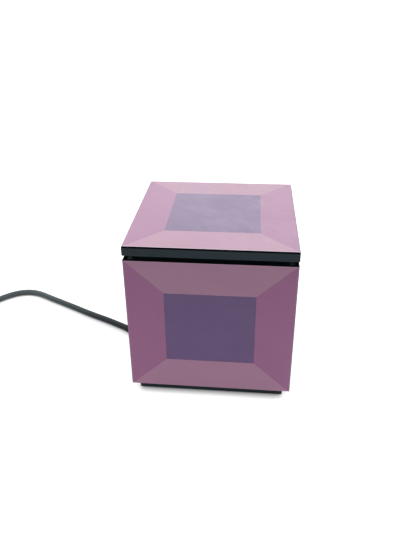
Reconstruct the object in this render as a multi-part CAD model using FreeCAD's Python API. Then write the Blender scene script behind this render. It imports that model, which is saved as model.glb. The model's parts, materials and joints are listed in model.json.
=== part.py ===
import FreeCAD, Part
import math
import os

from FreeCAD import Vector

# Cube table lamp with a hinged lid that lets the light out, in millimetres.
# X runs to the right, Y away from the viewer, Z up. The origin is the middle of
# the footprint, on the table. The hinge and the cord are on the -X side.

# Overall form
cube_side = 98.0
body_bottom = 7.0
panel_height = 89.4
shadow_gap = 2.7
lid_rim_height = 4.9
panel_thickness = 1.0
panel_bevel = 0.45
overrun = 2.0
play = 0.1

# Moulded body shell
shell_wall = 2.5
ledge_drop = 2.0
ledge_thickness = 2.0
ledge_width = 6.0
neck_margin = 1.5
neck_wall = 2.0
neck_lid_clearance = 0.4
post_margin = 0.7

# Base tray, which shows as the plinth
plinth_inset = 4.2
foot_proud = 1.0
tray_floor = 2.0
tray_wall = 2.0
tray_wall_lap = 2.2
base_boss_radius = 4.0
base_screw_inset = 5.2
vent_length = 22.0
vent_width = 2.4
vent_pitch = 5.0
vent_count = 3
vent_margin = 0.5

# Rubber feet
foot_radius = 5.5
foot_inset = 11.8
foot_stem_radius = 2.0

# Fasteners: shank and head of each kind
base_screw_radius = 1.5
base_screw_length = 16.0
base_screw_head_radius = 2.7
base_screw_head_height = 1.8
base_screw_sink = 0.4
small_screw_radius = 1.0
small_screw_length = 6.0
small_screw_head_radius = 1.9
small_screw_head_height = 1.0
screw_floor_cover = 0.45
drive_slot_width = 0.6
drive_slot_depth = 0.5

# Hinge of the lid
hinge_setback = 4.5
hinge_drop = 8.1
hinge_post_margin = 0.2
hinge_arm_width = 5.0
hinge_eye_radius = 2.6
hinge_pin_radius = 1.5
hinge_pin_play = 0.05
hinge_notch_play = 0.4
hinge_notch_floor = 4.6
hinge_lug_width = 4.0
hinge_pin_seat = 4.5
hinge_foot_length = 5.1
hinge_foot_thickness = 1.8
hinge_screw_grip = 2.9
washer_radius = 2.4

# Lid
lid_rim_margin = 0.3
lid_recess_depth = 3.4
lid_reflector_thickness = 0.5
lid_reflector_margin = 0.5
rivet_radius = 1.2
rivet_head_radius = 2.0
rivet_head_height = 0.5
rivet_inset = 4.5
rivet_grip = 1.0
bumper_length = 8.0
bumper_inset = 16.0
bumper_air = 0.1

# Reflector tray round the bulb
sheet = 0.8
flange_play = 0.3
well_switch_gap = 0.1
well_floor_margin = 1.5
well_floor_air = 6.0
well_neck_air = 3.0

# Lampholder and its bracket
bracket_rise = 5.0
bracket_thickness = 1.5
bracket_half_width = 8.0
bracket_boss_radius = 3.5
bracket_screw_margin = 4.5
holder_radius = 13.0
holder_height = 28.5
holder_floor = 5.5
holder_screw_offset = 8.5
holder_screw_grip = 4.5
screw_shell_play = 0.25
screw_shell_wall = 0.6
screw_shell_height = 18.0
contact_thickness = 0.6
contact_width = 4.0
contact_length = 9.0
contact_rise = 2.0

# Bulb: small round bulb with a 14 mm cap
bulb_headroom = 9.5
bulb_neck_length = 9.3
bulb_neck_radius = 9.0
bulb_wall = 0.8
cap_radius = 6.95
cap_length = 18.0
cap_wall = 0.4
tip_radius = 4.0
tip_height = 1.6
stem_radius = 3.0
filament_rise = 4.1
filament_radius = 0.5
filament_span = 16.0
support_radius = 0.4
support_rise = 12.0

# Switch worked by the lid
switch_top_gap = 2.2
switch_height = 14.0
switch_half_width = 9.0
switch_front_wall = 0.5
switch_wall = 1.2
switch_ear_reach = 5.5
switch_ear_thickness = 2.4
switch_ear_height = 7.0
switch_screw_cover = 0.5
plunger_radius = 1.4
plunger_play = 0.15
plunger_margin = 2.4
plunger_lid_air = 0.1
plunger_collar_radius = 2.5
plunger_collar_height = 1.2
plunger_tail = 3.0
plunger_travel = 2.5
plunger_stop_air = 0.3
cavity_half = 3.3
spring_wire_radius = 0.25
spring_coil_radius = 2.2
spring_turns = 5
spring_end_air = 0.02
switch_tab_length = 5.0
switch_tab_width = 2.8
switch_tab_thickness = 0.6
switch_tab_offset = 5.0

# Terminal block on the base
block_length = 18.0
block_width = 10.0
block_height = 9.0
block_across = -12.0
block_wall_gap = 5.0
block_bore_radius = 1.5
block_pole_offset = 4.6

# Cord clamp inside the plinth
clamp_gap = 0.8
clamp_length = 6.0
clamp_reach = 8.2
clamp_thickness = 1.5
clamp_screw_offset = 6.2
clamp_cord_gap = 0.05

# Mains cord, round, with its strain relief
cord_radius = 2.2
cord_arc_share = 0.45
cord_end_reach = 0.8
exit_across = 7.4
relief_turn = 28.8
relief_turn_radius = 42.0
relief_top_air = 0.3
relief_width = 8.0
relief_height = 5.0
relief_end_radius = 2.5
relief_neck_radius = 2.5
relief_collar_width = 8.0
relief_collar_thickness = 1.5
relief_collar_height = 4.4
relief_sections = 6
wire_radius = 0.8
wire_bend = 3.2
wire_lane = 2.3
wire_pair = 1.0

# Coil of the length put away, and the straps that hold it
coil_pitch = 4.9
coil_half_turns_per_layer = 4
coil_layers = 4
coil_climb_radius = 20.0
strap_width = 11.0
strap_thickness = 0.9
strap_air = 0.3
strap_turns_degrees = (92.0, 212.0, 332.0)

# Plug with two round pins, lying flat
plug_length = 36.0
plug_width = 35.0
plug_thickness = 13.6
plug_tail_width = 13.0
plug_shoulder = 20.0
plug_edge = 2.0
pin_radius = 2.0
pin_length = 19.0
pin_spacing = 18.6
pin_sleeve_length = 10.0
pin_core_radius = 1.3
pin_root = 5.0
pin_tip_chamfer = 0.6

# Levels and halves that follow from the sizes above
half = cube_side / 2
body_top = body_bottom + panel_height
lid_bottom = body_top + shadow_gap
rim_top = lid_bottom + lid_rim_height
shell_half = half - panel_thickness
shell_inner = shell_half - shell_wall
ledge_top = body_top - ledge_drop
ledge_bottom = ledge_top - ledge_thickness
ledge_inner_half = shell_inner - ledge_width
neck_top = lid_bottom - neck_lid_clearance
neck_half = shell_inner - neck_margin
neck_inner = neck_half - neck_wall
plinth_half = half - plinth_inset
tray_inner = plinth_half - tray_wall
tray_wall_top = body_bottom + tray_wall_lap
floor_top = foot_proud + tray_floor
base_screw_offset = plinth_half - base_screw_inset
foot_offset = plinth_half - foot_inset

# The bulb and its holder, from the base up
bracket_level = floor_top + bracket_rise
bracket_screw_offset = holder_radius + bracket_screw_margin
bracket_half_length = bracket_screw_offset + bracket_boss_radius
vent_row_offset = bracket_half_length + vent_margin + vent_width / 2 + (vent_count - 1) * vent_pitch / 2
holder_base = bracket_level + bracket_thickness
holder_top = holder_base + holder_height
screw_shell_radius = cap_radius + screw_shell_play + screw_shell_wall
shell_seat = holder_base + holder_floor + contact_rise
bulb_base = shell_seat + contact_thickness
cap_base = bulb_base + tip_height
cap_top = cap_base + cap_length

# The globe fills the height between its neck and the headroom under the lid
bulb_top = lid_bottom - bulb_headroom
globe_height = bulb_top - cap_top - bulb_neck_length
globe_radius = (globe_height ** 2 + bulb_neck_radius ** 2) / (2 * globe_height)
globe_centre = bulb_top - globe_radius
filament_level = globe_centre + filament_rise

# The switch stands inside the neck, the posts and the reflector against the switch
switch_offset = neck_inner - plunger_margin
switch_inner_face = switch_offset - cavity_half - switch_front_wall
switch_top = ledge_bottom - switch_top_gap
switch_bottom = switch_top - switch_height
plunger_top = lid_bottom - plunger_lid_air
collar_top = switch_top - switch_wall - plunger_stop_air - plunger_travel
collar_bottom = collar_top - plunger_collar_height
post_inner = switch_inner_face + post_margin
post_side = shell_inner - post_inner
well_floor_level = holder_top + well_floor_air
well_floor_half = globe_radius + well_floor_margin
well_rise_share = (switch_top - well_floor_level) / (ledge_top - well_floor_level)
well_half_at_switch = switch_inner_face - well_switch_gap - sheet
well_top_half = well_floor_half + (well_half_at_switch - well_floor_half) / well_rise_share

# Hinge and lid
hinge_x = hinge_setback - half
hinge_z = lid_bottom - hinge_drop
hinge_arm_offset = post_inner - hinge_post_margin - hinge_notch_play - hinge_arm_width / 2
lid_recess_half = -hinge_x - hinge_eye_radius - hinge_foot_length - lid_rim_margin
rivet_offset = lid_recess_half - rivet_inset
bumper_offset = neck_inner - bumper_inset

# Terminal block, cord clamp and cord
block_place = (block_across, block_wall_gap + block_length / 2 - tray_inner)
exit_level = body_bottom - relief_top_air - relief_height / 2
clamp_place = relief_collar_thickness + clamp_gap + clamp_length / 2 - tray_inner
inner_cord_end = clamp_place + clamp_length / 2 + cord_end_reach
coil_level = cord_radius + strap_thickness + strap_air

# The free cord from the strain relief to the coil, a list of places on the table
lead_route = [
    (-65.05, 12.6, 2.5), (-78.0, 19.72, 2.5), (-98.0, 29.0, 2.2), (-118.0, 39.5, 2.2),
    (-134.0, 47.2, 2.2), (-145.6, 53.4, 2.2), (-153.5, 55.6, 2.2), (-161.4, 54.9, 2.2),
    (-168.5, 51.5, 2.2), (-175.8, 45.2, 2.2), (-182.2, 37.9, 2.3), (-187.3, 29.4, 2.8),
    (-188.3, 18.5, 3.4), (-186.6, 7.3, 3.4),
]

# The last of the cord, from the end of the coil to the plug, as steps ahead, to the left and up
tail_steps = [
    (11.0, 0.0, 0.0), (23.5, 0.8, -3.0), (36.0, 2.6, -7.6), (48.5, 3.9, -11.3), (59.0, 4.0, -11.3),
]


def box(x0, x1, y0, y1, z0, z1):
    return Part.makeBox(x1 - x0, y1 - y0, z1 - z0, Vector(x0, y0, z0))


def plate(half_size, z0, z1):
    return box(-half_size, half_size, -half_size, half_size, z0, z1)


def frame_ring(outer, inner, z0, z1):
    return plate(outer, z0, z1).cut(plate(inner, z0 - overrun, z1 + overrun))


def rod(x, y, z0, z1, radius):
    return Part.makeCylinder(radius, z1 - z0, Vector(x, y, z0))


def bar(start, end, radius):
    reach = Vector(*end) - Vector(*start)
    return Part.makeCylinder(radius, reach.Length, Vector(*start), reach)


def corners(offset):
    return [(sx * offset, sy * offset) for sx in (-1, 1) for sy in (-1, 1)]


def fuse(shapes):
    whole = shapes[0]
    for shape in shapes[1:]:
        whole = whole.fuse(shape)
    return whole.removeSplitter()


def cut(shape, tools):
    for tool in tools:
        shape = shape.cut(tool)
    return shape


def save(name, shapes):
    shape = shapes[0] if len(shapes) == 1 else Part.makeCompound(shapes)
    shape.exportStep("parts/" + name + ".step")


def screw(tip, head_level, x, y, radius, head_radius, head_height):
    """A screw along Z from its tip to the underside of its head, whose slot faces away."""
    way = 1 if head_level > tip else -1
    shank = Part.makeCylinder(radius, abs(head_level - tip), Vector(x, y, tip), Vector(0, 0, way))
    head = Part.makeCylinder(head_radius, head_height, Vector(x, y, head_level), Vector(0, 0, way))
    top = head_level + way * head_height
    slot = box(x - head_radius, x + head_radius, y - drive_slot_width / 2, y + drive_slot_width / 2,
               min(top, top - way * drive_slot_depth), max(top, top - way * drive_slot_depth))
    return shank.fuse(head).removeSplitter().cut(slot)


def tube_path(points, name):
    """Straight runs joined by tangent arcs as large as the runs allow."""
    places = [Vector(*point) for point in points]
    edges, start, radii = [], places[0], []
    for before, corner, after in zip(places, places[1:], places[2:]):
        back, ahead = before - corner, after - corner
        reach = cord_arc_share * min(back.Length, ahead.Length)
        back.normalize()
        ahead.normalize()
        turn = math.pi - back.getAngle(ahead)
        radii.append(reach / math.tan(turn / 2))
        first, last = corner + back * reach, corner + ahead * reach
        inward = (back + ahead).normalize()
        middle = corner + inward * (radii[-1] / math.cos(turn / 2) - radii[-1])
        edges.append(Part.LineSegment(start, first).toShape())
        edges.append(Part.Arc(first, middle, last).toShape())
        start = last
    edges.append(Part.LineSegment(start, places[-1]).toShape())
    print(name, "arc radii", [round(radius, 1) for radius in radii])
    return edges


def tube(edges, radius, name):
    wire = Part.Wire(edges)
    heading = edges[0].tangentAt(edges[0].FirstParameter)
    ring = Part.Wire([Part.makeCircle(radius, edges[0].valueAt(edges[0].FirstParameter), heading)])
    solid = wire.makePipeShell([ring], True, False)
    expected = math.pi * radius ** 2 * wire.Length
    print(name, "length", round(wire.Length, 1), "volume share of section by length",
          round(solid.Volume / expected, 4), "valid", solid.isValid())
    return solid


def hinge_notches():
    """Slots through the hinge side that the lid's two arms swing in."""
    slots = []
    for side in (-1, 1):
        middle = side * hinge_arm_offset
        reach = hinge_arm_width / 2 + hinge_notch_play
        slots.append(box(-half - overrun, -ledge_inner_half + overrun, middle - reach, middle + reach,
                         hinge_z - hinge_notch_floor, neck_top + overrun))
    return slots


def body_shell():
    walls = frame_ring(shell_half, shell_inner, body_bottom, ledge_top)
    ledge = frame_ring(shell_half, ledge_inner_half, ledge_bottom, ledge_top)
    neck = frame_ring(neck_half, neck_inner, ledge_bottom, neck_top)
    shell = fuse([walls, ledge, neck])
    post_middle = shell_inner - post_side / 2
    for x, y in corners(post_middle):
        post = box(x - post_side / 2, x + post_side / 2, y - post_side / 2, y + post_side / 2,
                   tray_wall_top, ledge_bottom)
        shell = shell.fuse(post)
    shell = cut(shell, hinge_notches())
    for side in (-1, 1):
        inner_face = hinge_arm_offset - hinge_arm_width / 2 - hinge_notch_play
        near, far = sorted((side * inner_face, side * (inner_face - hinge_lug_width)))
        lug = box(-shell_inner, hinge_x + hinge_eye_radius + hinge_notch_play, near, far,
                  hinge_z - hinge_eye_radius - hinge_notch_play, ledge_top)
        shell = shell.fuse(lug)
        shell = shell.cut(pin_bar(side, hinge_pin_radius))
    for x, y in corners(base_screw_offset):
        shell = shell.cut(rod(x, y, tray_wall_top - overrun, base_screw_tip(), base_screw_radius))
    for x, y in corners(tray_screw_place()):
        shell = shell.cut(rod(x, y, ledge_top + sheet - small_screw_length, ledge_top + overrun,
                              small_screw_radius))
    plunger_hole = rod(switch_offset, 0, ledge_bottom - overrun, neck_top, plunger_radius + plunger_play)
    shell = shell.cut(plunger_hole)
    for y in switch_screw_places():
        level = switch_screw_level()
        shell = shell.cut(bar((shell_inner - overrun, y, level), (switch_screw_tip(), y, level),
                              small_screw_radius))
    return shell.removeSplitter()


def pin_bar(side, radius):
    start = hinge_arm_offset - hinge_arm_width / 2 - hinge_notch_play - hinge_lug_width
    end = post_inner + hinge_pin_seat
    return bar((hinge_x, side * start, hinge_z), (hinge_x, side * end, hinge_z), radius)


def hinge_washers():
    rings = []
    for side in (-1, 1):
        for face in (-1, 1):
            start = hinge_arm_offset + face * (hinge_arm_width / 2 + hinge_pin_play)
            end = hinge_arm_offset + face * (hinge_arm_width / 2 + hinge_notch_play)
            near, far = (hinge_x, side * start, hinge_z), (hinge_x, side * end, hinge_z)
            rings.append(bar(near, far, washer_radius).cut(bar(near, far, hinge_pin_radius)))
    return rings


def bevelled_panel(width, height, thickness, bevel):
    """A panel standing on the X axis with its shown face at -Y and that face's edges bevelled."""
    back = Part.makePolygon([Vector(-width / 2, 0, 0), Vector(width / 2, 0, 0), Vector(width / 2, 0, height),
                             Vector(-width / 2, 0, height), Vector(-width / 2, 0, 0)])
    low, high = bevel, height - bevel
    side = width / 2 - bevel
    face = Part.makePolygon([Vector(-side, 0, low), Vector(side, 0, low), Vector(side, 0, high),
                             Vector(-side, 0, high), Vector(-side, 0, low)])
    core = Part.Face(back).extrude(Vector(0, bevel - thickness, 0))
    edge = back.copy()
    edge.translate(Vector(0, bevel - thickness, 0))
    face.translate(Vector(0, -thickness, 0))
    return core.fuse(Part.makeLoft([edge, face], True, True)).removeSplitter()


def side_panel(width, quarter_turns):
    panel = bevelled_panel(width, panel_height, panel_thickness, panel_bevel)
    panel.translate(Vector(0, -shell_half, body_bottom))
    panel.rotate(Vector(0, 0, 0), Vector(0, 0, 1), 90 * quarter_turns)
    return panel


def lid_panel():
    panel = bevelled_panel(cube_side, cube_side, panel_thickness, panel_bevel)
    panel.translate(Vector(0, 0, -half))
    panel.rotate(Vector(0, 0, 0), Vector(1, 0, 0), -90)
    panel.translate(Vector(0, 0, rim_top))
    return panel


def lid_frame():
    frame = plate(half, lid_bottom, rim_top)
    frame = frame.cut(plate(lid_recess_half, lid_bottom - overrun, lid_bottom + lid_recess_depth))
    for x, y in corners(rivet_offset):
        frame = frame.cut(rod(x, y, lid_bottom, lid_bottom + lid_recess_depth + rivet_grip, rivet_radius))
    for side in (-1, 1):
        frame = frame.cut(rod(arm_screw_place(), side * hinge_arm_offset, lid_bottom - overrun,
                              arm_screw_tip(), small_screw_radius))
    return frame


def lid_reflector():
    top = lid_bottom + lid_recess_depth
    half_size = lid_recess_half - lid_reflector_margin
    sheet_plate = plate(half_size, top - lid_reflector_thickness, top)
    for x, y in corners(rivet_offset):
        sheet_plate = sheet_plate.cut(rod(x, y, lid_bottom, top + overrun, rivet_radius))
    return sheet_plate


def lid_rivets():
    top = lid_bottom + lid_recess_depth
    face = top - lid_reflector_thickness
    rivets = []
    for x, y in corners(rivet_offset):
        head = rod(x, y, face - rivet_head_height, face, rivet_head_radius)
        rivets.append(fuse([head, rod(x, y, face, top + rivet_grip, rivet_radius)]))
    return rivets


def arm_screw_place():
    return hinge_x + hinge_eye_radius + hinge_foot_length / 2


def arm_screw_tip():
    return lid_bottom + hinge_screw_grip


def hinge_arms():
    arms = []
    for side in (-1, 1):
        near = side * hinge_arm_offset - hinge_arm_width / 2
        far = near + hinge_arm_width
        eye = bar((hinge_x, near, hinge_z), (hinge_x, far, hinge_z), hinge_eye_radius)
        front = hinge_x + hinge_eye_radius
        upright = box(hinge_x - hinge_eye_radius, front, near, far, hinge_z, lid_bottom)
        foot = box(front, front + hinge_foot_length, near, far, lid_bottom - hinge_foot_thickness,
                   lid_bottom)
        arm = fuse([eye, upright, foot])
        arm = arm.cut(bar((hinge_x, near - overrun, hinge_z), (hinge_x, far + overrun, hinge_z),
                          hinge_pin_radius + hinge_pin_play))
        low = lid_bottom - hinge_foot_thickness
        arm = arm.cut(rod(arm_screw_place(), side * hinge_arm_offset, low - overrun, lid_bottom + overrun,
                          small_screw_radius))
        arm = arm.cut(rod(arm_screw_place(), side * hinge_arm_offset, low - overrun,
                          low + small_screw_head_height, small_screw_head_radius))
        arms.append(arm)
    return arms


def hinge_arm_screws():
    level = lid_bottom - hinge_foot_thickness + small_screw_head_height
    return [screw(arm_screw_tip(), level, arm_screw_place(), side * hinge_arm_offset, small_screw_radius,
                  small_screw_head_radius, small_screw_head_height) for side in (-1, 1)]


def lid_bumpers():
    middle = (neck_half + neck_inner) / 2
    return [box(middle - neck_wall / 2, middle + neck_wall / 2, side * bumper_offset - bumper_length / 2,
                side * bumper_offset + bumper_length / 2, neck_top + bumper_air, lid_bottom)
            for side in (-1, 1)]


def base_screw_tip():
    return foot_proud + base_screw_sink + base_screw_head_height + base_screw_length


def base_plate():
    tray = plate(plinth_half, foot_proud, tray_wall_top)
    tray = tray.cut(plate(tray_inner, floor_top, tray_wall_top + overrun))
    for x, y in corners(base_screw_offset):
        tray = tray.fuse(rod(x, y, foot_proud, tray_wall_top, base_boss_radius))
    for side in (-1, 1):
        tray = tray.fuse(rod(side * bracket_screw_offset, 0, foot_proud, bracket_level, bracket_boss_radius))
        for place in clamp_screw_places():
            tray = tray.fuse(rod(clamp_place, place, foot_proud, clamp_level(), small_screw_head_radius))
    tray = tray.common(plate(plinth_half, foot_proud, tray_wall_top))
    for x, y in corners(base_screw_offset):
        tray = tray.cut(rod(x, y, foot_proud - overrun, tray_wall_top + overrun,
                            base_screw_radius + play))
        tray = tray.cut(rod(x, y, foot_proud - overrun,
                            foot_proud + base_screw_sink + base_screw_head_height,
                            base_screw_head_radius + play))
    for side in (-1, 1):
        tray = tray.cut(rod(side * bracket_screw_offset, 0, bracket_screw_tip(), bracket_level + overrun,
                            small_screw_radius))
    for place in clamp_screw_places():
        tray = tray.cut(rod(clamp_place, place, clamp_screw_tip(), clamp_level() + overrun,
                            small_screw_radius))
    for x, y in corners(foot_offset):
        tray = tray.cut(rod(x, y, foot_proud - overrun, floor_top + overrun, foot_stem_radius))
    for index in range(vent_count):
        across = vent_row_offset + (index - (vent_count - 1) / 2) * vent_pitch
        tray = tray.cut(box(across - vent_width / 2, across + vent_width / 2, -vent_length / 2,
                            vent_length / 2, foot_proud - overrun, floor_top + overrun))
        tray = tray.cut(box(-vent_length / 2, vent_length / 2, across - vent_width / 2,
                            across + vent_width / 2, foot_proud - overrun, floor_top + overrun))
    tray = tray.cut(rod(block_place[0], block_place[1], block_screw_tip(), floor_top + overrun,
                        small_screw_radius))
    hole = bar((-plinth_half - overrun, exit_across, exit_level), (inner_cord_end, exit_across, exit_level),
               relief_neck_radius + play / 2)
    return tray.cut(hole).removeSplitter()


def base_screws():
    seat = foot_proud + base_screw_sink + base_screw_head_height
    return [screw(base_screw_tip(), seat, x, y, base_screw_radius, base_screw_head_radius,
                  base_screw_head_height) for x, y in corners(base_screw_offset)]


def rubber_feet():
    return [fuse([rod(x, y, 0, foot_proud, foot_radius), rod(x, y, foot_proud, floor_top, foot_stem_radius)])
            for x, y in corners(foot_offset)]


def square_wire(half_size, level):
    spots = [(-1, -1), (1, -1), (1, 1), (-1, 1), (-1, -1)]
    return Part.makePolygon([Vector(sx * half_size, sy * half_size, level) for sx, sy in spots])


def tray_screw_place():
    return neck_inner - small_screw_head_radius - flange_play - play


def reflector_tray():
    """Square funnel of thin sheet: a flange on the shell's ledge, four sloping walls and a floor."""
    flange_top = ledge_top + sheet
    outside = Part.makeLoft([square_wire(well_floor_half + sheet, well_floor_level),
                             square_wire(well_top_half + sheet, ledge_top)], True, True)
    inside = Part.makeLoft([square_wire(well_floor_half, well_floor_level + sheet),
                            square_wire(well_top_half, flange_top)], True, True)
    flange = plate(neck_inner - flange_play, ledge_top, flange_top)
    tray = outside.fuse(flange).cut(inside)
    tray = tray.cut(rod(0, 0, well_floor_level - overrun, well_floor_level + overrun,
                        bulb_neck_radius + well_neck_air))
    tray = tray.cut(rod(switch_offset, 0, ledge_top - overrun, flange_top + overrun,
                        plunger_radius + plunger_play))
    for x, y in corners(tray_screw_place()):
        tray = tray.cut(rod(x, y, ledge_top - overrun, flange_top + overrun, small_screw_radius))
    return tray.removeSplitter()


def tray_screws():
    seat = ledge_top + sheet
    return [screw(seat - small_screw_length, seat, x, y, small_screw_radius, small_screw_head_radius,
                  small_screw_head_height) for x, y in corners(tray_screw_place())]


def bracket_screw_tip():
    return bracket_level + bracket_thickness - small_screw_length


def lampholder_bracket():
    strip = box(-bracket_half_length, bracket_half_length, -bracket_half_width, bracket_half_width,
                bracket_level, holder_base)
    for side in (-1, 1):
        for place, radius in ((bracket_screw_offset, small_screw_radius),
                              (holder_screw_offset, small_screw_radius)):
            strip = strip.cut(rod(side * place, 0, bracket_level - overrun, holder_base + overrun, radius))
    return strip


def bracket_screws():
    return [screw(bracket_screw_tip(), holder_base, side * bracket_screw_offset, 0, small_screw_radius,
                  small_screw_head_radius, small_screw_head_height) for side in (-1, 1)]


def lampholder_screws():
    return [screw(holder_base + holder_screw_grip, bracket_level, side * holder_screw_offset, 0,
                  small_screw_radius, small_screw_head_radius, small_screw_head_height)
            for side in (-1, 1)]


def lampholder_body():
    body = rod(0, 0, holder_base, holder_top, holder_radius)
    body = body.cut(rod(0, 0, holder_base + holder_floor, holder_top + overrun, screw_shell_radius))
    for side in (-1, 1):
        body = body.cut(rod(side * holder_screw_offset, 0, holder_base - overrun,
                            holder_base + holder_screw_grip, small_screw_radius))
    return body


def lampholder_shell():
    ring = rod(0, 0, shell_seat, shell_seat + screw_shell_height, screw_shell_radius)
    return ring.cut(rod(0, 0, shell_seat - overrun, shell_seat + screw_shell_height + overrun,
                        screw_shell_radius - screw_shell_wall))


def lampholder_contact():
    """A bent strip: its foot on the holder's floor, its free end under the bulb's tip."""
    floor = holder_base + holder_floor
    reach = contact_length / 2
    width = contact_width / 2
    foot = box(-reach, -reach + contact_width, -width, width, floor, floor + contact_thickness)
    riser = box(-reach, -reach + contact_thickness, -width, width, floor, bulb_base)
    leaf = box(-reach, contact_width / 2, -width, width, bulb_base - contact_thickness, bulb_base)
    return fuse([foot, riser, leaf])


def bulb_form(wall_in):
    """A round globe that narrows to the cap, smaller all over by wall_in."""
    ball = globe_radius - wall_in
    neck = bulb_neck_radius - wall_in
    join = globe_centre - math.sqrt(ball ** 2 - neck ** 2)
    low = cap_top if wall_in == 0 else cap_top - cap_wall
    top = Vector(0, 0, globe_centre + ball)
    foot, foot_edge = Vector(0, 0, low), Vector(cap_radius - wall_in, 0, low)
    neck_edge = Vector(neck, 0, join)
    arc = Part.Arc(neck_edge, Vector(ball, 0, globe_centre), top).toShape()
    lines = [Part.LineSegment(start, end).toShape()
             for start, end in ((top, foot), (foot, foot_edge), (foot_edge, neck_edge))]
    face = Part.Face(Part.Wire([arc] + lines))
    return face.revolve(Vector(0, 0, 0), Vector(0, 0, 1), 360)


def bulb_glass():
    return bulb_form(0).cut(bulb_form(bulb_wall))


def bulb_cap():
    cap = rod(0, 0, cap_base, cap_top, cap_radius)
    return cap.cut(rod(0, 0, cap_base + cap_wall, cap_top + overrun, cap_radius - cap_wall))


def bulb_tip():
    return Part.makeCone(tip_radius / 2, tip_radius, tip_height, Vector(0, 0, bulb_base))


def bulb_stem():
    return rod(0, 0, cap_base + cap_wall, filament_level - support_rise, stem_radius)


def bulb_filament():
    spread = filament_span / 2
    coil = bar((-spread, 0, filament_level), (spread, 0, filament_level), filament_radius)
    root = filament_level - support_rise + support_radius
    legs = [bar((side * stem_radius / 2, 0, root), (side * spread, 0, filament_level), support_radius)
            for side in (-1, 1)]
    return fuse([coil] + legs)


def switch_screw_level():
    return switch_bottom + switch_height / 2


def switch_screw_places():
    place = switch_half_width + switch_ear_reach / 2
    return (-place, place)


def switch_housing():
    case = box(switch_inner_face, shell_inner, -switch_half_width, switch_half_width, switch_bottom,
               switch_top)
    ears = box(shell_inner - switch_ear_thickness, shell_inner, -switch_half_width - switch_ear_reach,
               switch_half_width + switch_ear_reach, switch_screw_level() - switch_ear_height / 2,
               switch_screw_level() + switch_ear_height / 2)
    case = fuse([case, ears])
    case = case.cut(rod(switch_offset, 0, switch_bottom + switch_wall, switch_top - switch_wall, cavity_half))
    case = case.cut(rod(switch_offset, 0, switch_bottom + switch_wall, switch_top + overrun,
                        plunger_radius + plunger_play))
    for y in switch_screw_places():
        case = case.cut(bar((shell_inner - switch_ear_thickness - overrun, y, switch_screw_level()),
                            (shell_inner + overrun, y, switch_screw_level()), small_screw_radius))
    for side in (-1, 1):
        case = case.cut(switch_tab(side))
    return case


def switch_tab(side):
    x = (switch_inner_face + shell_inner) / 2
    y = side * switch_tab_offset
    return box(x - switch_tab_width / 2, x + switch_tab_width / 2, y - switch_tab_thickness / 2,
               y + switch_tab_thickness / 2, switch_bottom - switch_tab_length, switch_bottom + switch_wall)


def switch_screw_tip():
    return shell_inner + shell_wall - switch_screw_cover


def switch_screws():
    screws = []
    for y in switch_screw_places():
        seat = shell_inner - switch_ear_thickness
        x_screw = screw(switch_screw_tip(), seat, 0, 0, small_screw_radius,
                        small_screw_head_radius, small_screw_head_height)
        x_screw.rotate(Vector(0, 0, 0), Vector(0, 1, 0), 90)
        x_screw.translate(Vector(0, y, switch_screw_level()))
        screws.append(x_screw)
    return screws


def switch_plunger():
    stem = rod(switch_offset, 0, collar_bottom - plunger_tail, plunger_top, plunger_radius)
    collar = rod(switch_offset, 0, collar_bottom, collar_top, plunger_collar_radius)
    return fuse([stem, collar])


def half_turn(centre, across, sideways, radius, z0, z1):
    """A half turn from one end of a chord to the other, level at both ends when it climbs."""
    start = centre + across * radius + Vector(0, 0, z0)
    end = centre - across * radius + Vector(0, 0, z1)
    middle = (start + end) / 2 + sideways * ((start - end).Length / 2)
    return Part.Arc(start, middle, end).toShape()


def switch_spring():
    low = switch_bottom + switch_wall + spring_wire_radius + spring_end_air
    high = collar_bottom - spring_wire_radius - spring_end_air
    rise = (high - low) / (2 * spring_turns)
    centre = Vector(switch_offset, 0, 0)
    edges = []
    for index in range(2 * spring_turns):
        way = 1 if index % 2 == 0 else -1
        edges.append(half_turn(centre, Vector(way, 0, 0), Vector(0, way, 0), spring_coil_radius,
                               low + index * rise, low + (index + 1) * rise))
    return tube(edges, spring_wire_radius, "switch_spring")


def block_pole_places():
    return [block_place[1] - block_pole_offset, block_place[1] + block_pole_offset]


def block_screw_tip():
    return foot_proud + tray_floor / 2


def terminal_block():
    x, y = block_place
    top = floor_top + block_height
    level = floor_top + block_height / 2
    block = box(x - block_width / 2, x + block_width / 2, y - block_length / 2, y + block_length / 2,
                floor_top, top)
    for place in block_pole_places():
        block = block.cut(bar((x - block_width, place, level), (x + block_width, place, level),
                              block_bore_radius))
        block = block.cut(rod(x, place, level, top + overrun, small_screw_radius))
    return block.cut(rod(x, y, floor_top - overrun, top + overrun, small_screw_radius))


def terminal_screws():
    level = floor_top + block_height / 2
    return [screw(level + block_bore_radius, floor_top + block_height, block_place[0], place,
                  small_screw_radius, small_screw_head_radius, small_screw_head_height)
            for place in block_pole_places()]


def terminal_block_screw():
    x, y = block_place
    return screw(block_screw_tip(), floor_top + block_height, x, y, small_screw_radius,
                 small_screw_head_radius, small_screw_head_height)


def clamp_level():
    return exit_level + cord_radius + clamp_cord_gap - clamp_thickness


def clamp_screw_places():
    return (exit_across - clamp_screw_offset, exit_across + clamp_screw_offset)


def clamp_screw_tip():
    return foot_proud + screw_floor_cover


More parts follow.
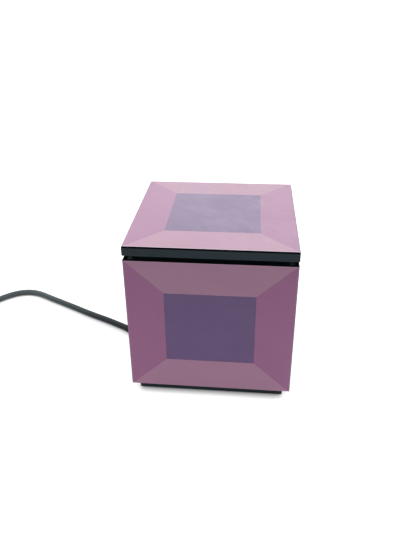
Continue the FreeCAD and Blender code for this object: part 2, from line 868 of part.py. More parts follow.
def cord_clamp():
    """A strap over the cord, with two feet on bosses of the tray."""
    bottom = clamp_level()
    top = exit_level + cord_radius + clamp_cord_gap + clamp_thickness
    bridge = cord_radius + clamp_cord_gap + clamp_thickness
    foot = box(clamp_place - clamp_length / 2, clamp_place + clamp_length / 2,
               exit_across - clamp_reach, exit_across + clamp_reach, bottom, bottom + clamp_thickness)
    arch = box(clamp_place - clamp_length / 2, clamp_place + clamp_length / 2,
               exit_across - bridge, exit_across + bridge, bottom, top)
    channel = bridge - clamp_thickness
    clamp = fuse([foot, arch]).cut(box(clamp_place - clamp_length, clamp_place + clamp_length,
                                       exit_across - channel, exit_across + channel, bottom - overrun,
                                       top - clamp_thickness))
    for place in clamp_screw_places():
        clamp = clamp.cut(rod(clamp_place, place, bottom - overrun, top + overrun, small_screw_radius))
    return clamp


def clamp_screws():
    seat = clamp_level() + clamp_thickness
    return [screw(clamp_screw_tip(), seat, clamp_place, place, small_screw_radius,
                  small_screw_head_radius, small_screw_head_height) for place in clamp_screw_places()]


def oval_wire(place, heading, half_width, half_height):
    """An oval across the heading, of two half ellipses, wide way level."""
    across = Vector(-heading.y, heading.x, 0)
    across.normalize()
    upward = heading.cross(across)
    if half_width > half_height:
        oval = Part.Ellipse(place + across * half_width, place + upward * half_height, place)
    else:
        oval = Part.Circle(place, heading, half_width)
    return Part.Wire([oval.toShape()])


def relief_place(share):
    """Place and heading on the strain relief's curve, from the wall to its free end."""
    turn = math.radians(relief_turn) * share
    x = -plinth_half - relief_turn_radius * math.sin(turn)
    y = exit_across + relief_turn_radius * (1 - math.cos(turn))
    ease = share * share * (3 - 2 * share)
    z = exit_level + (relief_end_radius - exit_level) * ease
    return Vector(x, y, z), Vector(-math.cos(turn), math.sin(turn), 0)


def strain_relief():
    wires = []
    for index in range(relief_sections):
        share = index / (relief_sections - 1)
        place, heading = relief_place(share)
        half_width = relief_width / 2 + (relief_end_radius - relief_width / 2) * share
        half_height = relief_height / 2 + (relief_end_radius - relief_height / 2) * share
        wires.append(oval_wire(place, heading, half_width, half_height))
    boot = Part.makeLoft(wires, True, False)
    inner_end = relief_collar_thickness - tray_inner
    neck = bar((-plinth_half, exit_across, exit_level), (inner_end, exit_across, exit_level),
               relief_neck_radius)
    collar = box(-tray_inner, inner_end, exit_across - relief_collar_width / 2,
                 exit_across + relief_collar_width / 2, floor_top, floor_top + relief_collar_height)
    return fuse([boot, neck, collar])


def cord_inside():
    start = relief_collar_thickness - tray_inner
    return bar((start, exit_across, exit_level), (inner_cord_end, exit_across, exit_level), cord_radius)


def wire_routes():
    """Insulated wires: cord to block, block to switch, switch to holder, block to holder."""
    far_pole, near_pole = block_pole_places()
    block_in, block_out = block_place[0] - block_width / 2, block_place[0] + block_width / 2
    level, low = floor_top + block_height / 2, exit_level
    between = (level + low) / 2
    far_lane = inner_cord_end + wire_bend
    near_lane = far_lane + wire_lane
    right, left = exit_across - wire_pair, exit_across + wire_pair
    tab_x = (switch_inner_face + shell_inner) / 2
    tab_low = switch_bottom - switch_tab_length
    entry, holder_side = holder_base + holder_floor / 2, holder_radius
    return {
        "wire_supply_live": [
            (inner_cord_end, right, low), (inner_cord_end + wire_bend / 2, right, low),
            (far_lane, right - 2 * wire_bend, low), (far_lane, far_pole / 2, between),
            (far_lane, far_pole + wire_bend, level), (block_in - wire_bend, far_pole, level),
            (block_in, far_pole, level)],
        "wire_supply_neutral": [
            (inner_cord_end, left, low), (inner_cord_end + wire_bend, left, low),
            (near_lane, right - wire_bend, low), (near_lane, near_pole / 2, between),
            (near_lane, near_pole + wire_bend, level), (block_in - wire_bend, near_pole, level),
            (block_in, near_pole, level)],
        "wire_switch_feed": [
            (block_out, far_pole, level), (block_out + 2 * wire_bend, far_pole, level),
            (tab_x / 2, far_pole + 2 * wire_bend, level + wire_bend),
            (tab_x - wire_bend, -switch_tab_offset - 3 * wire_bend, tab_low / 3),
            (tab_x, -switch_tab_offset, 2 * tab_low / 3), (tab_x, -switch_tab_offset, tab_low)],
        "wire_switched": [
            (tab_x, switch_tab_offset, tab_low), (tab_x, switch_tab_offset, 2 * tab_low / 3),
            (tab_x - wire_bend, switch_tab_offset + 3 * wire_bend, tab_low / 3),
            (tab_x / 2, holder_side + 4 * wire_bend, entry + wire_bend),
            (wire_bend / 2, holder_side + 3 * wire_bend, entry), (0, holder_side + wire_bend, entry),
            (0, holder_side, entry)],
        "wire_neutral": [
            (block_out, near_pole, level), (block_out + wire_bend, near_pole, level),
            (0, -holder_side - 2 * wire_bend, (level + entry) / 2),
            (0, -holder_side - wire_bend, entry), (0, -holder_side, entry)],
    }


def spiral_half_turns():
    """Radius and layer of each half turn: in, climb, out, climb, and so on."""
    turns = []
    for layer in range(coil_layers):
        steps = range(coil_half_turns_per_layer, 0, -1)
        if layer % 2:
            steps = range(1, coil_half_turns_per_layer + 1)
        turns += [(step, layer, layer) for step in steps]
        if layer < coil_layers - 1:
            climb = 0 if layer % 2 == 0 else coil_half_turns_per_layer + 1
            turns.append((climb, layer, layer + 1))
    return turns


def heading_of(points):
    """Level direction of the last run of a route."""
    last, before = Vector(*points[-1]), Vector(*points[-2])
    run = Vector(last.x - before.x, last.y - before.y, 0)
    return run.normalize()


def cord_coil_path():
    """The coil's whole centre line, wound clockwise from where the lead ends."""
    ahead = heading_of(lead_route)
    left = Vector(-ahead.y, ahead.x, 0)
    straight = 2 * cord_radius
    ground = Vector(lead_route[-1][0], lead_route[-1][1], 0)
    place = ground + ahead * straight
    across, low_end = left, Vector(0, 0, coil_level)
    edges = [Part.LineSegment(ground + low_end, place + low_end).toShape()]
    for index, (step, low, high) in enumerate(spiral_half_turns()):
        radius = coil_climb_radius + step * coil_pitch / 2
        way = 1 if index % 2 == 0 else -1
        centre = place - across * radius
        edges.append(half_turn(centre, across, ahead * way, radius, coil_level + low * coil_pitch,
                               coil_level + high * coil_pitch))
        place = centre - across * radius
        across = across * -1
    top = coil_level + (coil_layers - 1) * coil_pitch
    away = ahead * -1
    end = place + away * straight
    edges.append(Part.LineSegment(place + Vector(0, 0, top), end + Vector(0, 0, top)).toShape())
    return edges, end + Vector(0, 0, top), away


def least_self_gap(edges, radius):
    """Smallest clear distance between stretches of the coil that are not next to each other."""
    points, travelled = [], 0.0
    for edge in edges:
        count = max(2, int(edge.Length / radius))
        for index in range(count):
            points.append((travelled + edge.Length * index / count,
                           edge.valueAt(edge.getParameterByLength(edge.Length * index / count))))
        travelled += edge.Length
    least = travelled
    for index, (start, first) in enumerate(points):
        for reach, second in points[index + 1:]:
            if reach - start > 4 * math.pi * radius:
                least = min(least, (second - first).Length)
    return least - 2 * radius


def tail_route(start, away):
    left = Vector(-away.y, away.x, 0)
    places = [start]
    for ahead_step, left_step, up_step in tail_steps:
        places.append(start + away * ahead_step + left * left_step + Vector(0, 0, up_step))
    return [tuple(place) for place in places]


def coil_centre(edges):
    box_of_coil = Part.Wire(edges[1:-1]).BoundBox
    return Vector(box_of_coil.Center.x, box_of_coil.Center.y, 0)


def coil_straps(edges):
    """Bands round all the turns, which lie on the table and carry the coil."""
    outer = coil_climb_radius + (coil_half_turns_per_layer + 1) * coil_pitch / 2 + coil_pitch
    hole = coil_climb_radius - coil_pitch / 2 - cord_radius - strap_air
    inner = math.sqrt(hole ** 2 - (strap_width / 2) ** 2)
    height = coil_level + (coil_layers - 1) * coil_pitch + cord_radius + strap_air
    middle = coil_centre(edges)
    straps = []
    for angle in strap_turns_degrees:
        band = box(inner - strap_thickness, outer + strap_thickness, -strap_width / 2, strap_width / 2,
                   0, height + strap_thickness)
        band = band.cut(box(inner, outer, -strap_width, strap_width, strap_thickness, height))
        band.rotate(Vector(0, 0, 0), Vector(0, 0, 1), angle)
        band.translate(middle)
        straps.append(band)
    return straps


def plug_outline():
    """Seen from above, with the cord entering at X = 0: a narrow tail that widens to a square nose."""
    tail, nose = plug_tail_width / 2, plug_width / 2
    spots = [(0, -tail), (plug_shoulder / 2, -tail), (plug_shoulder, -nose), (plug_length, -nose),
             (plug_length, nose), (plug_shoulder, nose), (plug_shoulder / 2, tail), (0, tail), (0, -tail)]
    return Part.Face(Part.makePolygon([Vector(x, y, 0) for x, y in spots]))


def plug_solids():
    body = plug_outline().extrude(Vector(0, 0, plug_thickness))
    long_edges = [edge for edge in body.Edges if abs(edge.BoundBox.ZLength) < play
                  and edge.BoundBox.XMax > play]
    body = body.makeChamfer(plug_edge, long_edges)
    sleeves, pins = [], []
    root, tip = plug_length - pin_root, plug_length + pin_length
    sleeve_end = plug_length + pin_sleeve_length
    for side in (-1, 1):
        y, z = side * pin_spacing / 2, plug_thickness / 2
        core = bar((root, y, z), (sleeve_end, y, z), pin_core_radius)
        bare = bar((sleeve_end, y, z), (tip, y, z), pin_radius)
        edge = [item for item in bare.Edges if item.BoundBox.XMin > tip - play]
        pins.append(fuse([core, bare.makeChamfer(pin_tip_chamfer, edge)]))
        sleeves.append(bar((plug_length, y, z), (sleeve_end, y, z), pin_radius).cut(core))
        body = body.cut(core)
    return body, pins, sleeves


def place_plug(shape, end, heading):
    turned = shape.copy()
    turned.rotate(Vector(0, 0, 0), Vector(0, 0, 1), math.degrees(math.atan2(heading.y, heading.x)))
    turned.translate(Vector(end.x, end.y, end.z - plug_thickness / 2))
    return turned


def save_cord():
    lead = tube_path(lead_route, "cord_lead")
    save("cord_lead", [tube(lead, cord_radius, "cord_lead")])
    coil, coil_end, away = cord_coil_path()
    print("cord_coil least gap to itself", round(least_self_gap(coil, cord_radius), 2))
    save("cord_coil", [tube(coil, cord_radius, "cord_coil")])
    save("coil_straps", coil_straps(coil))
    tail = tail_route(coil_end, away)
    save("cord_tail", [tube(tube_path(tail, "cord_tail"), cord_radius, "cord_tail")])
    heading, end = heading_of(tail), Vector(*tail[-1])
    print("cord tail end", end, "coil centre", coil_centre(coil))
    body, pins, sleeves = plug_solids()
    save("plug_body", [place_plug(body, end, heading)])
    save("plug_pins", [place_plug(pin, end, heading) for pin in pins])
    save("plug_pin_sleeves", [place_plug(sleeve, end, heading) for sleeve in sleeves])


def main():
    os.makedirs("parts", exist_ok=True)
    save("body_shell", [body_shell()])
    save("front_panel", [side_panel(cube_side, 0)])
    save("right_panel", [side_panel(2 * shell_half, 1)])
    save("back_panel", [side_panel(cube_side, 2)])
    save("hinge_side_panel", [cut(side_panel(2 * shell_half, 3), hinge_notches())])
    save("hinge_pins", [pin_bar(side, hinge_pin_radius) for side in (-1, 1)])
    save("hinge_washers", hinge_washers())
    save("lid_panel", [lid_panel()])
    save("lid_frame", [lid_frame()])
    save("lid_reflector", [lid_reflector()])
    save("lid_rivets", lid_rivets())
    save("hinge_arms", hinge_arms())
    save("hinge_arm_screws", hinge_arm_screws())
    save("lid_bumpers", lid_bumpers())
    save("base_plate", [base_plate()])
    save("base_screws", base_screws())
    save("rubber_feet", rubber_feet())
    save("reflector_tray", [reflector_tray()])
    save("tray_screws", tray_screws())
    save("lampholder_bracket", [lampholder_bracket()])
    save("bracket_screws", bracket_screws())
    save("lampholder_screws", lampholder_screws())
    save("lampholder_body", [lampholder_body()])
    save("lampholder_shell", [lampholder_shell()])
    save("lampholder_contact", [lampholder_contact()])
    save("bulb_glass", [bulb_glass()])
    save("bulb_cap", [bulb_cap()])
    save("bulb_tip", [bulb_tip()])
    save("bulb_stem", [bulb_stem()])
    save("bulb_filament", [bulb_filament()])
    save("switch_housing", [switch_housing()])
    save("switch_terminals", [switch_tab(-1), switch_tab(1)])
    save("switch_screws", switch_screws())
    save("switch_plunger", [switch_plunger()])
    save("switch_spring", [switch_spring()])
    save("terminal_block", [terminal_block()])
    save("terminal_screws", terminal_screws())
    save("terminal_block_screw", [terminal_block_screw()])
    save("cord_clamp", [cord_clamp()])
    save("clamp_screws", clamp_screws())
    save("strain_relief", [strain_relief()])
    save("cord_inside", [cord_inside()])
    for name, route in wire_routes().items():
        save(name, [tube(tube_path(route, name), wire_radius, name)])
    save_cord()


main()
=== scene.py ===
import json
import math

import bmesh
import bpy
from mathutils import Matrix, Vector


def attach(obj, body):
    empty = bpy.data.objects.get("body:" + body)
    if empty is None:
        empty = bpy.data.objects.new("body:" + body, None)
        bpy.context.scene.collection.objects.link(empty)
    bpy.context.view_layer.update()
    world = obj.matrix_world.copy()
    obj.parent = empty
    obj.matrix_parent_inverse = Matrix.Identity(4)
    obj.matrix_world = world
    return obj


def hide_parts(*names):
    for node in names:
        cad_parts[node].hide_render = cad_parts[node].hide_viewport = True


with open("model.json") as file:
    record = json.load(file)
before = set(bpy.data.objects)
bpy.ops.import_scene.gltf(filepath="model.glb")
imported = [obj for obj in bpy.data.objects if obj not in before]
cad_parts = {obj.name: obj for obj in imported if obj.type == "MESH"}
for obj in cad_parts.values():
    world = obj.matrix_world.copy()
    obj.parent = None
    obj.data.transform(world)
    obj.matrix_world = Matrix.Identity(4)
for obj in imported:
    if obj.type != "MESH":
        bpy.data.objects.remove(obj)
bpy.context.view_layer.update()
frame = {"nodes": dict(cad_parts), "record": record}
nodes = frame["nodes"]
mm = 0.001

# Sizes of the lamp that the finishes follow, in metres
half = 49.0 * mm
panel_bottom, panel_top = 7.0 * mm, 96.4 * mm
panel_middle = (panel_bottom + panel_top) / 2
panel_half_height = (panel_top - panel_bottom) / 2
lid_top = 105.0 * mm
panel_bevel = 0.45 * mm
inlay_half_width = 26.39 * mm
inlay_half_height = 23.72 * mm
lid_inlay_half = 27.76 * mm


def make_camera():
    """The photograph's view: place, heading, tilt and roll, and a long side of 36 mm."""
    azimuth, elevation, roll = 0.103427, 0.479057, -0.014863
    place = Vector((20.4044, -309.4213, 247.4527)) * mm
    ahead = Vector((-math.sin(azimuth) * math.cos(elevation), math.cos(azimuth) * math.cos(elevation),
                    -math.sin(elevation)))
    level = Vector((math.cos(azimuth), math.sin(azimuth), 0))
    upward = level.cross(ahead)
    right = level * math.cos(roll) + upward * math.sin(roll)
    up = upward * math.cos(roll) - level * math.sin(roll)
    data = bpy.data.cameras.new("camera")
    data.sensor_width = 36.0
    data.lens = 36.148
    data.shift_x, data.shift_y = 0.0144, -0.0640
    data.clip_start, data.clip_end = 10 * mm, 20.0
    camera = bpy.data.objects.new("camera", data)
    bpy.context.scene.collection.objects.link(camera)
    turn = Matrix((right, up, -ahead)).transposed().to_4x4()
    camera.matrix_world = Matrix.Translation(place) @ turn
    bpy.context.scene.camera = camera


make_camera()

# The free cord from the strain relief to the coil, places in millimetres
cord_radius = 2.2
lead_route = [
    (-65.05, 12.6, 2.5), (-78.0, 19.72, 2.5), (-98.0, 29.0, 2.2), (-118.0, 39.5, 2.2),
    (-134.0, 47.2, 2.2), (-145.6, 53.4, 2.2), (-153.5, 55.6, 2.2), (-161.4, 54.9, 2.2),
    (-168.5, 51.5, 2.2), (-175.8, 45.2, 2.2), (-182.2, 37.9, 2.3), (-187.3, 29.4, 2.8),
    (-188.3, 18.5, 3.4), (-186.6, 7.3, 3.4),
]
tail_steps = [
    (11.0, 0.0, 0.0), (23.5, 0.8, -3.0), (36.0, 2.6, -7.6), (48.5, 3.9, -11.3), (59.0, 4.0, -11.3),
]
coil_pitch = 4.9
coil_layers = 4
coil_half_turns_per_layer = 4
coil_climb_radius = 20.0
coil_level = 3.4
coil_points_per_half_turn = 8


def coil_half_turns():
    """Step outwards and layers of each half turn: in, climb, out, climb, and so on."""
    turns = []
    for layer in range(coil_layers):
        steps = range(coil_half_turns_per_layer, 0, -1)
        if layer % 2:
            steps = range(1, coil_half_turns_per_layer + 1)
        turns += [(step, layer, layer) for step in steps]
        if layer < coil_layers - 1:
            climb = 0 if layer % 2 == 0 else coil_half_turns_per_layer + 1
            turns.append((climb, layer, layer + 1))
    return turns


def cord_points():
    """Every point of the cord's line: the lead, the coil's turns and the tail."""
    points = [Vector(point) for point in lead_route]
    ahead = points[-1] - points[-2]
    ahead = Vector((ahead.x, ahead.y, 0)).normalized()
    left = Vector((-ahead.y, ahead.x, 0))
    straight = 2 * cord_radius
    place = Vector((points[-1].x, points[-1].y, 0)) + ahead * straight
    across = left.copy()
    step_angle = math.pi / coil_points_per_half_turn
    outset = 1 / (0.75 + 0.25 * math.cos(step_angle))
    for index, (step, low, high) in enumerate(coil_half_turns()):
        radius = coil_climb_radius + step * coil_pitch / 2
        way = 1 if index % 2 == 0 else -1
        centre = place - across * radius
        for count in range(coil_points_per_half_turn):
            angle = (count + 0.5) * step_angle
            rise = (1 - math.cos(angle)) / 2
            level = coil_level + (low + (high - low) * rise) * coil_pitch
            flat = across * math.cos(angle) + ahead * way * math.sin(angle)
            points.append(centre + flat * radius * outset + Vector((0, 0, level)))
        place = centre - across * radius
        across = -across
    away = -ahead
    beside = Vector((-away.y, away.x, 0))
    top = Vector((0, 0, coil_level + (coil_layers - 1) * coil_pitch))
    end = place + away * straight + top
    points.append(end)
    for ahead_step, left_step, up_step in tail_steps:
        points.append(end + away * ahead_step + beside * left_step + Vector((0, 0, up_step)))
    return points


def make_cord():
    """The flex as one smooth line along its route, round in section."""
    curve = bpy.data.curves.new("mains_cord", "CURVE")
    curve.dimensions = "3D"
    curve.bevel_depth = 1.0
    curve.bevel_resolution = 5
    curve.use_fill_caps = True
    curve.resolution_u = 6
    spline = curve.splines.new("NURBS")
    places = cord_points()
    spline.points.add(len(places) - 1)
    for point, place in zip(spline.points, places):
        point.co = (place.x * mm, place.y * mm, place.z * mm, 1)
        point.radius = cord_radius * mm
    spline.order_u = 3
    spline.use_endpoint_u = True
    cord = bpy.data.objects.new("mains_cord", curve)
    bpy.context.scene.collection.objects.link(cord)
    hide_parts("cord_lead", "cord_coil", "cord_tail")
    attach(cord, "base")
    return cord


cord = make_cord()


def srgb(red, green, blue):
    """A colour as an eye reads it, 0 to 255, as the linear values that a shader takes."""
    shares = [value / 255 for value in (red, green, blue)]
    linear = [share / 12.92 if share <= 0.04045 else ((share + 0.055) / 1.055) ** 2.4 for share in shares]
    return (*linear, 1.0)


class Paint:
    """One material's nodes, with short names for the steps that the finishes share."""

    def __init__(self, name, **sockets):
        self.material = bpy.data.materials.new(name)
        self.material.use_nodes = True
        self.tree = self.material.node_tree
        self.shader = self.tree.nodes["Principled BSDF"]
        for socket, value in sockets.items():
            self.shader.inputs[socket.replace("_", " ")].default_value = value
        self.place = self.add("ShaderNodeTexCoord").outputs["Object"]
        self.parts = None

    def add(self, kind, **settings):
        node = self.tree.nodes.new(kind)
        for setting, value in settings.items():
            setattr(node, setting, value)
        return node

    def feed(self, socket, value):
        if hasattr(value, "is_linked"):
            self.tree.links.new(value, socket)
        else:
            socket.default_value = value

    def axis(self, index):
        if self.parts is None:
            split = self.add("ShaderNodeSeparateXYZ")
            self.feed(split.inputs[0], self.place)
            self.parts = split.outputs
        return self.parts[index]

    def calc(self, operation, first, second=0.0, third=0.0, clamp=False):
        node = self.add("ShaderNodeMath", operation=operation, use_clamp=clamp)
        for socket, value in zip(node.inputs, (first, second, third)):
            self.feed(socket, value)
        return node.outputs[0]

    def remap(self, value, low, high, start=0.0, end=1.0, smooth=False):
        node = self.add("ShaderNodeMapRange", interpolation_type="SMOOTHSTEP" if smooth else "LINEAR")
        for socket, number in zip(node.inputs[:5], (value, low, high, start, end)):
            self.feed(socket, number)
        return node.outputs[0]

    def noise(self, scale, detail=3.0, roughness=0.55, distortion=0.0, stretch=None, turn=0.0, seed=0.0):
        node = self.add("ShaderNodeTexNoise", noise_dimensions="4D")
        node.inputs["W"].default_value = seed
        node.inputs["Scale"].default_value = scale
        node.inputs["Detail"].default_value = detail
        node.inputs["Roughness"].default_value = roughness
        node.inputs["Distortion"].default_value = distortion
        vector = self.place
        if stretch:
            placed = self.add("ShaderNodeMapping", vector_type="TEXTURE")
            self.feed(placed.inputs["Vector"], vector)
            placed.inputs["Rotation"].default_value = (0, 0, turn)
            placed.inputs["Scale"].default_value = [1 / share for share in stretch]
            vector = placed.outputs[0]
        self.feed(node.inputs["Vector"], vector)
        return node.outputs["Fac"]

    def blend(self, share, first, second, kind="MIX"):
        node = self.add("ShaderNodeMix", data_type="RGBA", blend_type=kind)
        self.feed(node.inputs[0], share)
        self.feed(node.inputs[6], first)
        self.feed(node.inputs[7], second)
        return node.outputs[2]

    def bump(self, height, distance, strength=1.0, under=None):
        node = self.add("ShaderNodeBump")
        node.inputs["Distance"].default_value = distance
        node.inputs["Strength"].default_value = strength
        self.feed(node.inputs["Height"], height)
        if under is not None:
            self.feed(node.inputs["Normal"], under)
        return node.outputs[0]

    def rounded(self, radius):
        node = self.add("ShaderNodeBevel", samples=6)
        node.inputs["Radius"].default_value = radius
        return node.outputs[0]

    def finish(self, colour=None, roughness=None, normal=None):
        for name, value in (("Base Color", colour), ("Roughness", roughness), ("Normal", normal)):
            if value is not None:
                self.feed(self.shader.inputs[name], value)
        return self.material

    def matt(self, share, colour):
        """Where share is 1, bare matt stock of one colour, in place of the finish."""
        stock = self.add("ShaderNodeBsdfDiffuse")
        stock.inputs["Color"].default_value = colour
        both = self.add("ShaderNodeMixShader")
        self.feed(both.inputs[0], share)
        self.feed(both.inputs[1], self.shader.outputs[0])
        self.feed(both.inputs[2], stock.outputs[0])
        self.feed(self.tree.nodes["Material Output"].inputs["Surface"], both.outputs[0])
        return self.material


# The laminate's three colours, its dark core, its pale edge, which is partly rubbing wear and partly
# painted highlight, and the film of dust on the lid
field_light = srgb(160, 117, 143)
field_deep = srgb(147, 93, 133)
inlay = srgb(96, 72, 117)
laminate_core = srgb(14, 12, 17)
edge_grey = srgb(92, 78, 90)
worn_edge_and_highlight = srgb(236, 226, 236)
haze = srgb(214, 207, 219)
mitre_line, border_line = 0.35 * mm, 0.2 * mm
pale_edge_line = 0.45 * mm

# How far left and forward of the lid's middle the film is wiped away by the hand that opens it
handled = -45.0 * mm

# Laminate: its cloudy tone, its seams, and the film and the wipe marks on it
cloud_scale, cloud_tone = 38, 0.03
seam_shade, seam_depth, seam_strength = 0.16, 0.03 * mm, 0.6
film_scale, film_share = 34, 0.6
wipe_scale, wipe_share, wipe_stretch, wipe_turn = 75, 0.4, (1.0, 0.42, 1.0), 0.7
wiped_slant, wiped_least = 0.6, 0.1
# A pale line just inside every edge of the laminate: a painted highlight
painted_arris_highlight = 0.12
sheen_scale, sheen_low, sheen_high, bevel_dull = 420, 0.30, 0.35, 0.25
bevel_starts, core_starts = 0.03 * mm, 0.01 * mm
laminate_grain_scale, laminate_grain_depth = 1500, 0.012 * mm

# Where, along the flex, its painted light begins and is full: lighter away from the lamp, darker near it
# as painted shade and reflection of the lamp
painted_light_starts, painted_light_full = -72.0 * mm, -150.0 * mm


def laminate(name, across, along, along_middle, sizes, face_axis, face_level, gloss, dust, rubbed_and_highlight, fade):
    """Mitred frame of two tones round a purple rectangle. sizes: half sizes outside, then inside.

    dust is the film's middle strength, rubbed_and_highlight the paleness of the front arris, partly
    rubbing wear and partly a painted highlight, and fade how much lighter the foot of the panel is than
    its top, a painted light bounced from the floor."""
    outer_across, outer_along, inner_across, inner_along = sizes
    seed = 10 * (face_axis + 1)
    paint = Paint(name, Specular_IOR_Level=gloss)
    height = paint.calc("SUBTRACT", paint.axis(along), along_middle)
    a, b = paint.calc("ABSOLUTE", paint.axis(across)), paint.calc("ABSOLUTE", height)
    side_share = paint.remap(a, inner_across, outer_across)
    along_share = paint.remap(b, inner_along, outer_along)
    for share in (side_share, along_share):
        share.node.clamp = False
    most = paint.calc("MAXIMUM", side_share, along_share)
    inside = paint.calc("LESS_THAN", most, 0.0)
    light = paint.calc("GREATER_THAN", along_share, side_share)
    colour = paint.blend(inside, paint.blend(light, field_deep, field_light), inlay)
    # Random cloudy tone, plus painted light bounced from the floor: the panel is painted lighter towards
    # its foot by fade
    cloud = paint.noise(cloud_scale, detail=4, roughness=0.6, distortion=0.4, seed=seed)
    tone = paint.calc("ADD", paint.remap(cloud, 0.3, 0.7, -cloud_tone, cloud_tone),
                      paint.remap(height, -outer_along, outer_along, 1 + fade, 1 - fade))
    toned = paint.add("ShaderNodeHueSaturation")
    paint.feed(toned.inputs["Value"], tone)
    paint.feed(toned.inputs["Color"], colour)
    colour = toned.outputs[0]
    width = outer_across - inner_across
    mitre_gap = paint.calc("ABSOLUTE", paint.calc("SUBTRACT", along_share, side_share))
    mitre = paint.remap(mitre_gap, 0.0, mitre_line / width, 1.0, 0.0)
    mitre = paint.calc("MULTIPLY", mitre, paint.calc("SUBTRACT", 1.0, inside))
    border = paint.remap(paint.calc("ABSOLUTE", most), 0.0, border_line / width, 1.0, 0.0)
    seam = paint.calc("MAXIMUM", mitre, border)
    colour = paint.blend(paint.calc("MULTIPLY", seam, seam_shade), colour, laminate_core)

    film = paint.noise(film_scale, detail=4, roughness=0.62, distortion=0.9, seed=seed + 1)
    wipes = paint.noise(wipe_scale, detail=5, roughness=0.66, distortion=1.5, stretch=wipe_stretch,
                        turn=wipe_turn, seed=seed + 2)
    smudge = paint.calc("ADD", paint.remap(film, 0.32, 0.68, 0.0, film_share),
                        paint.remap(wipes, 0.36, 0.66, 0.0, wipe_share))
    corner = paint.calc("MULTIPLY_ADD", height, wiped_slant, paint.axis(across))
    unwiped = paint.remap(corner, handled, handled / 9, wiped_least, 1.0, smooth=True)
    smudge = paint.calc("MULTIPLY", smudge, unwiped)
    colour = paint.blend(paint.calc("MULTIPLY", smudge, 2 * dust), colour, haze)

    depth = paint.calc("ABSOLUTE", paint.axis(face_axis))
    inset = paint.calc("MINIMUM", paint.calc("SUBTRACT", outer_across, a),
                       paint.calc("SUBTRACT", outer_along, b))
    # Pale band just inside the edges: a painted highlight all round, stronger on the lid's front edge,
    # where it is partly rubbing wear too
    arris = paint.remap(inset, panel_bevel, panel_bevel + pale_edge_line, 1.0, 0.0)
    front = paint.calc("MULTIPLY", light, paint.calc("LESS_THAN", height, 0.0)) if rubbed_and_highlight else 0.0
    paleness = paint.calc("ADD", paint.calc("MULTIPLY", front, rubbed_and_highlight), painted_arris_highlight)
    colour = paint.blend(paint.calc("MULTIPLY", arris, paleness), colour, worn_edge_and_highlight)
    bevel = paint.calc("LESS_THAN", depth, face_level - bevel_starts)
    core = paint.calc("LESS_THAN", depth, face_level - panel_bevel - core_starts)
    colour = paint.blend(bevel, colour, edge_grey)

    fine = paint.noise(sheen_scale, detail=2, seed=seed + 3)
    roughness = paint.calc("ADD", paint.remap(fine, 0.3, 0.7, sheen_low, sheen_high),
                           paint.calc("MULTIPLY", smudge, dust))
    roughness = paint.calc("ADD", roughness, paint.calc("MULTIPLY", bevel, bevel_dull))
    grain = paint.noise(laminate_grain_scale, detail=1, seed=1.0)
    normal = paint.bump(grain, laminate_grain_depth, 0.5)
    normal = paint.bump(paint.calc("SUBTRACT", 1.0, seam), seam_depth, seam_strength, normal)
    paint.finish(colour, roughness, normal)
    # Matt dark core where the sheet is cut through and on the chamfers of the light fields: partly the
    # laminate's real core and partly painted shade along those edges
    core_and_painted_shade = paint.calc("MAXIMUM", core, paint.calc("MULTIPLY", bevel, light))
    return paint.matt(core_and_painted_shade, laminate_core)


def scaled(colour, share):
    """A colour with each value times a share."""
    return tuple(value * share for value in colour[:3]) + (1.0,)


def moulding(name, colour, roughness, grain_scale, grain_depth, round_radius=0.25 * mm, specular=0.4):
    """Moulded plastic or rubber: fine grain, soft edges, slightly uneven sheen."""
    patch_scale, dark_share, spread = 55, 0.86, 0.05
    paint = Paint(name, Specular_IOR_Level=specular)
    patch = paint.noise(patch_scale, detail=4, seed=2.0)
    grain = paint.noise(grain_scale, detail=2, seed=5.0)
    shade = paint.blend(paint.remap(patch, 0.35, 0.65), scaled(colour, dark_share), colour)
    rough = paint.calc("ADD", roughness - spread, paint.remap(patch, 0.3, 0.7, 0.0, 2 * spread))
    normal = paint.bump(grain, grain_depth, 0.7, paint.rounded(round_radius))
    return paint.finish(shade, rough, normal)


def metal(name, colour, roughness, stretch=(1, 1, 1)):
    """Bare or plated metal with drawn streaks and slight tarnish."""
    streak_scale, streak_depth, patch_scale = 700, 0.006 * mm, 45
    tarnish, round_radius = 0.88, 0.15 * mm
    paint = Paint(name, Metallic=1.0)
    streak = paint.noise(streak_scale, detail=2, stretch=stretch, seed=4.0)
    patch = paint.noise(patch_scale, detail=3, seed=8.0)
    shade = paint.blend(paint.remap(patch, 0.35, 0.7), colour, scaled(colour, tarnish))
    rough = paint.calc("ADD", roughness, paint.remap(streak, 0.3, 0.7, -0.03, 0.05))
    normal = paint.bump(streak, streak_depth, 0.4, paint.rounded(round_radius))
    return paint.finish(shade, rough, normal)


def glass(name):
    """Clear blown glass with a faint ripple."""
    ripple_scale, ripple_depth = 90, 0.05 * mm
    paint = Paint(name, Transmission_Weight=1.0, IOR=1.45, Roughness=0.02)
    ripple = paint.noise(ripple_scale, detail=1, seed=6.0)
    return paint.finish(srgb(246, 249, 248), None, paint.bump(ripple, ripple_depth, 0.25))


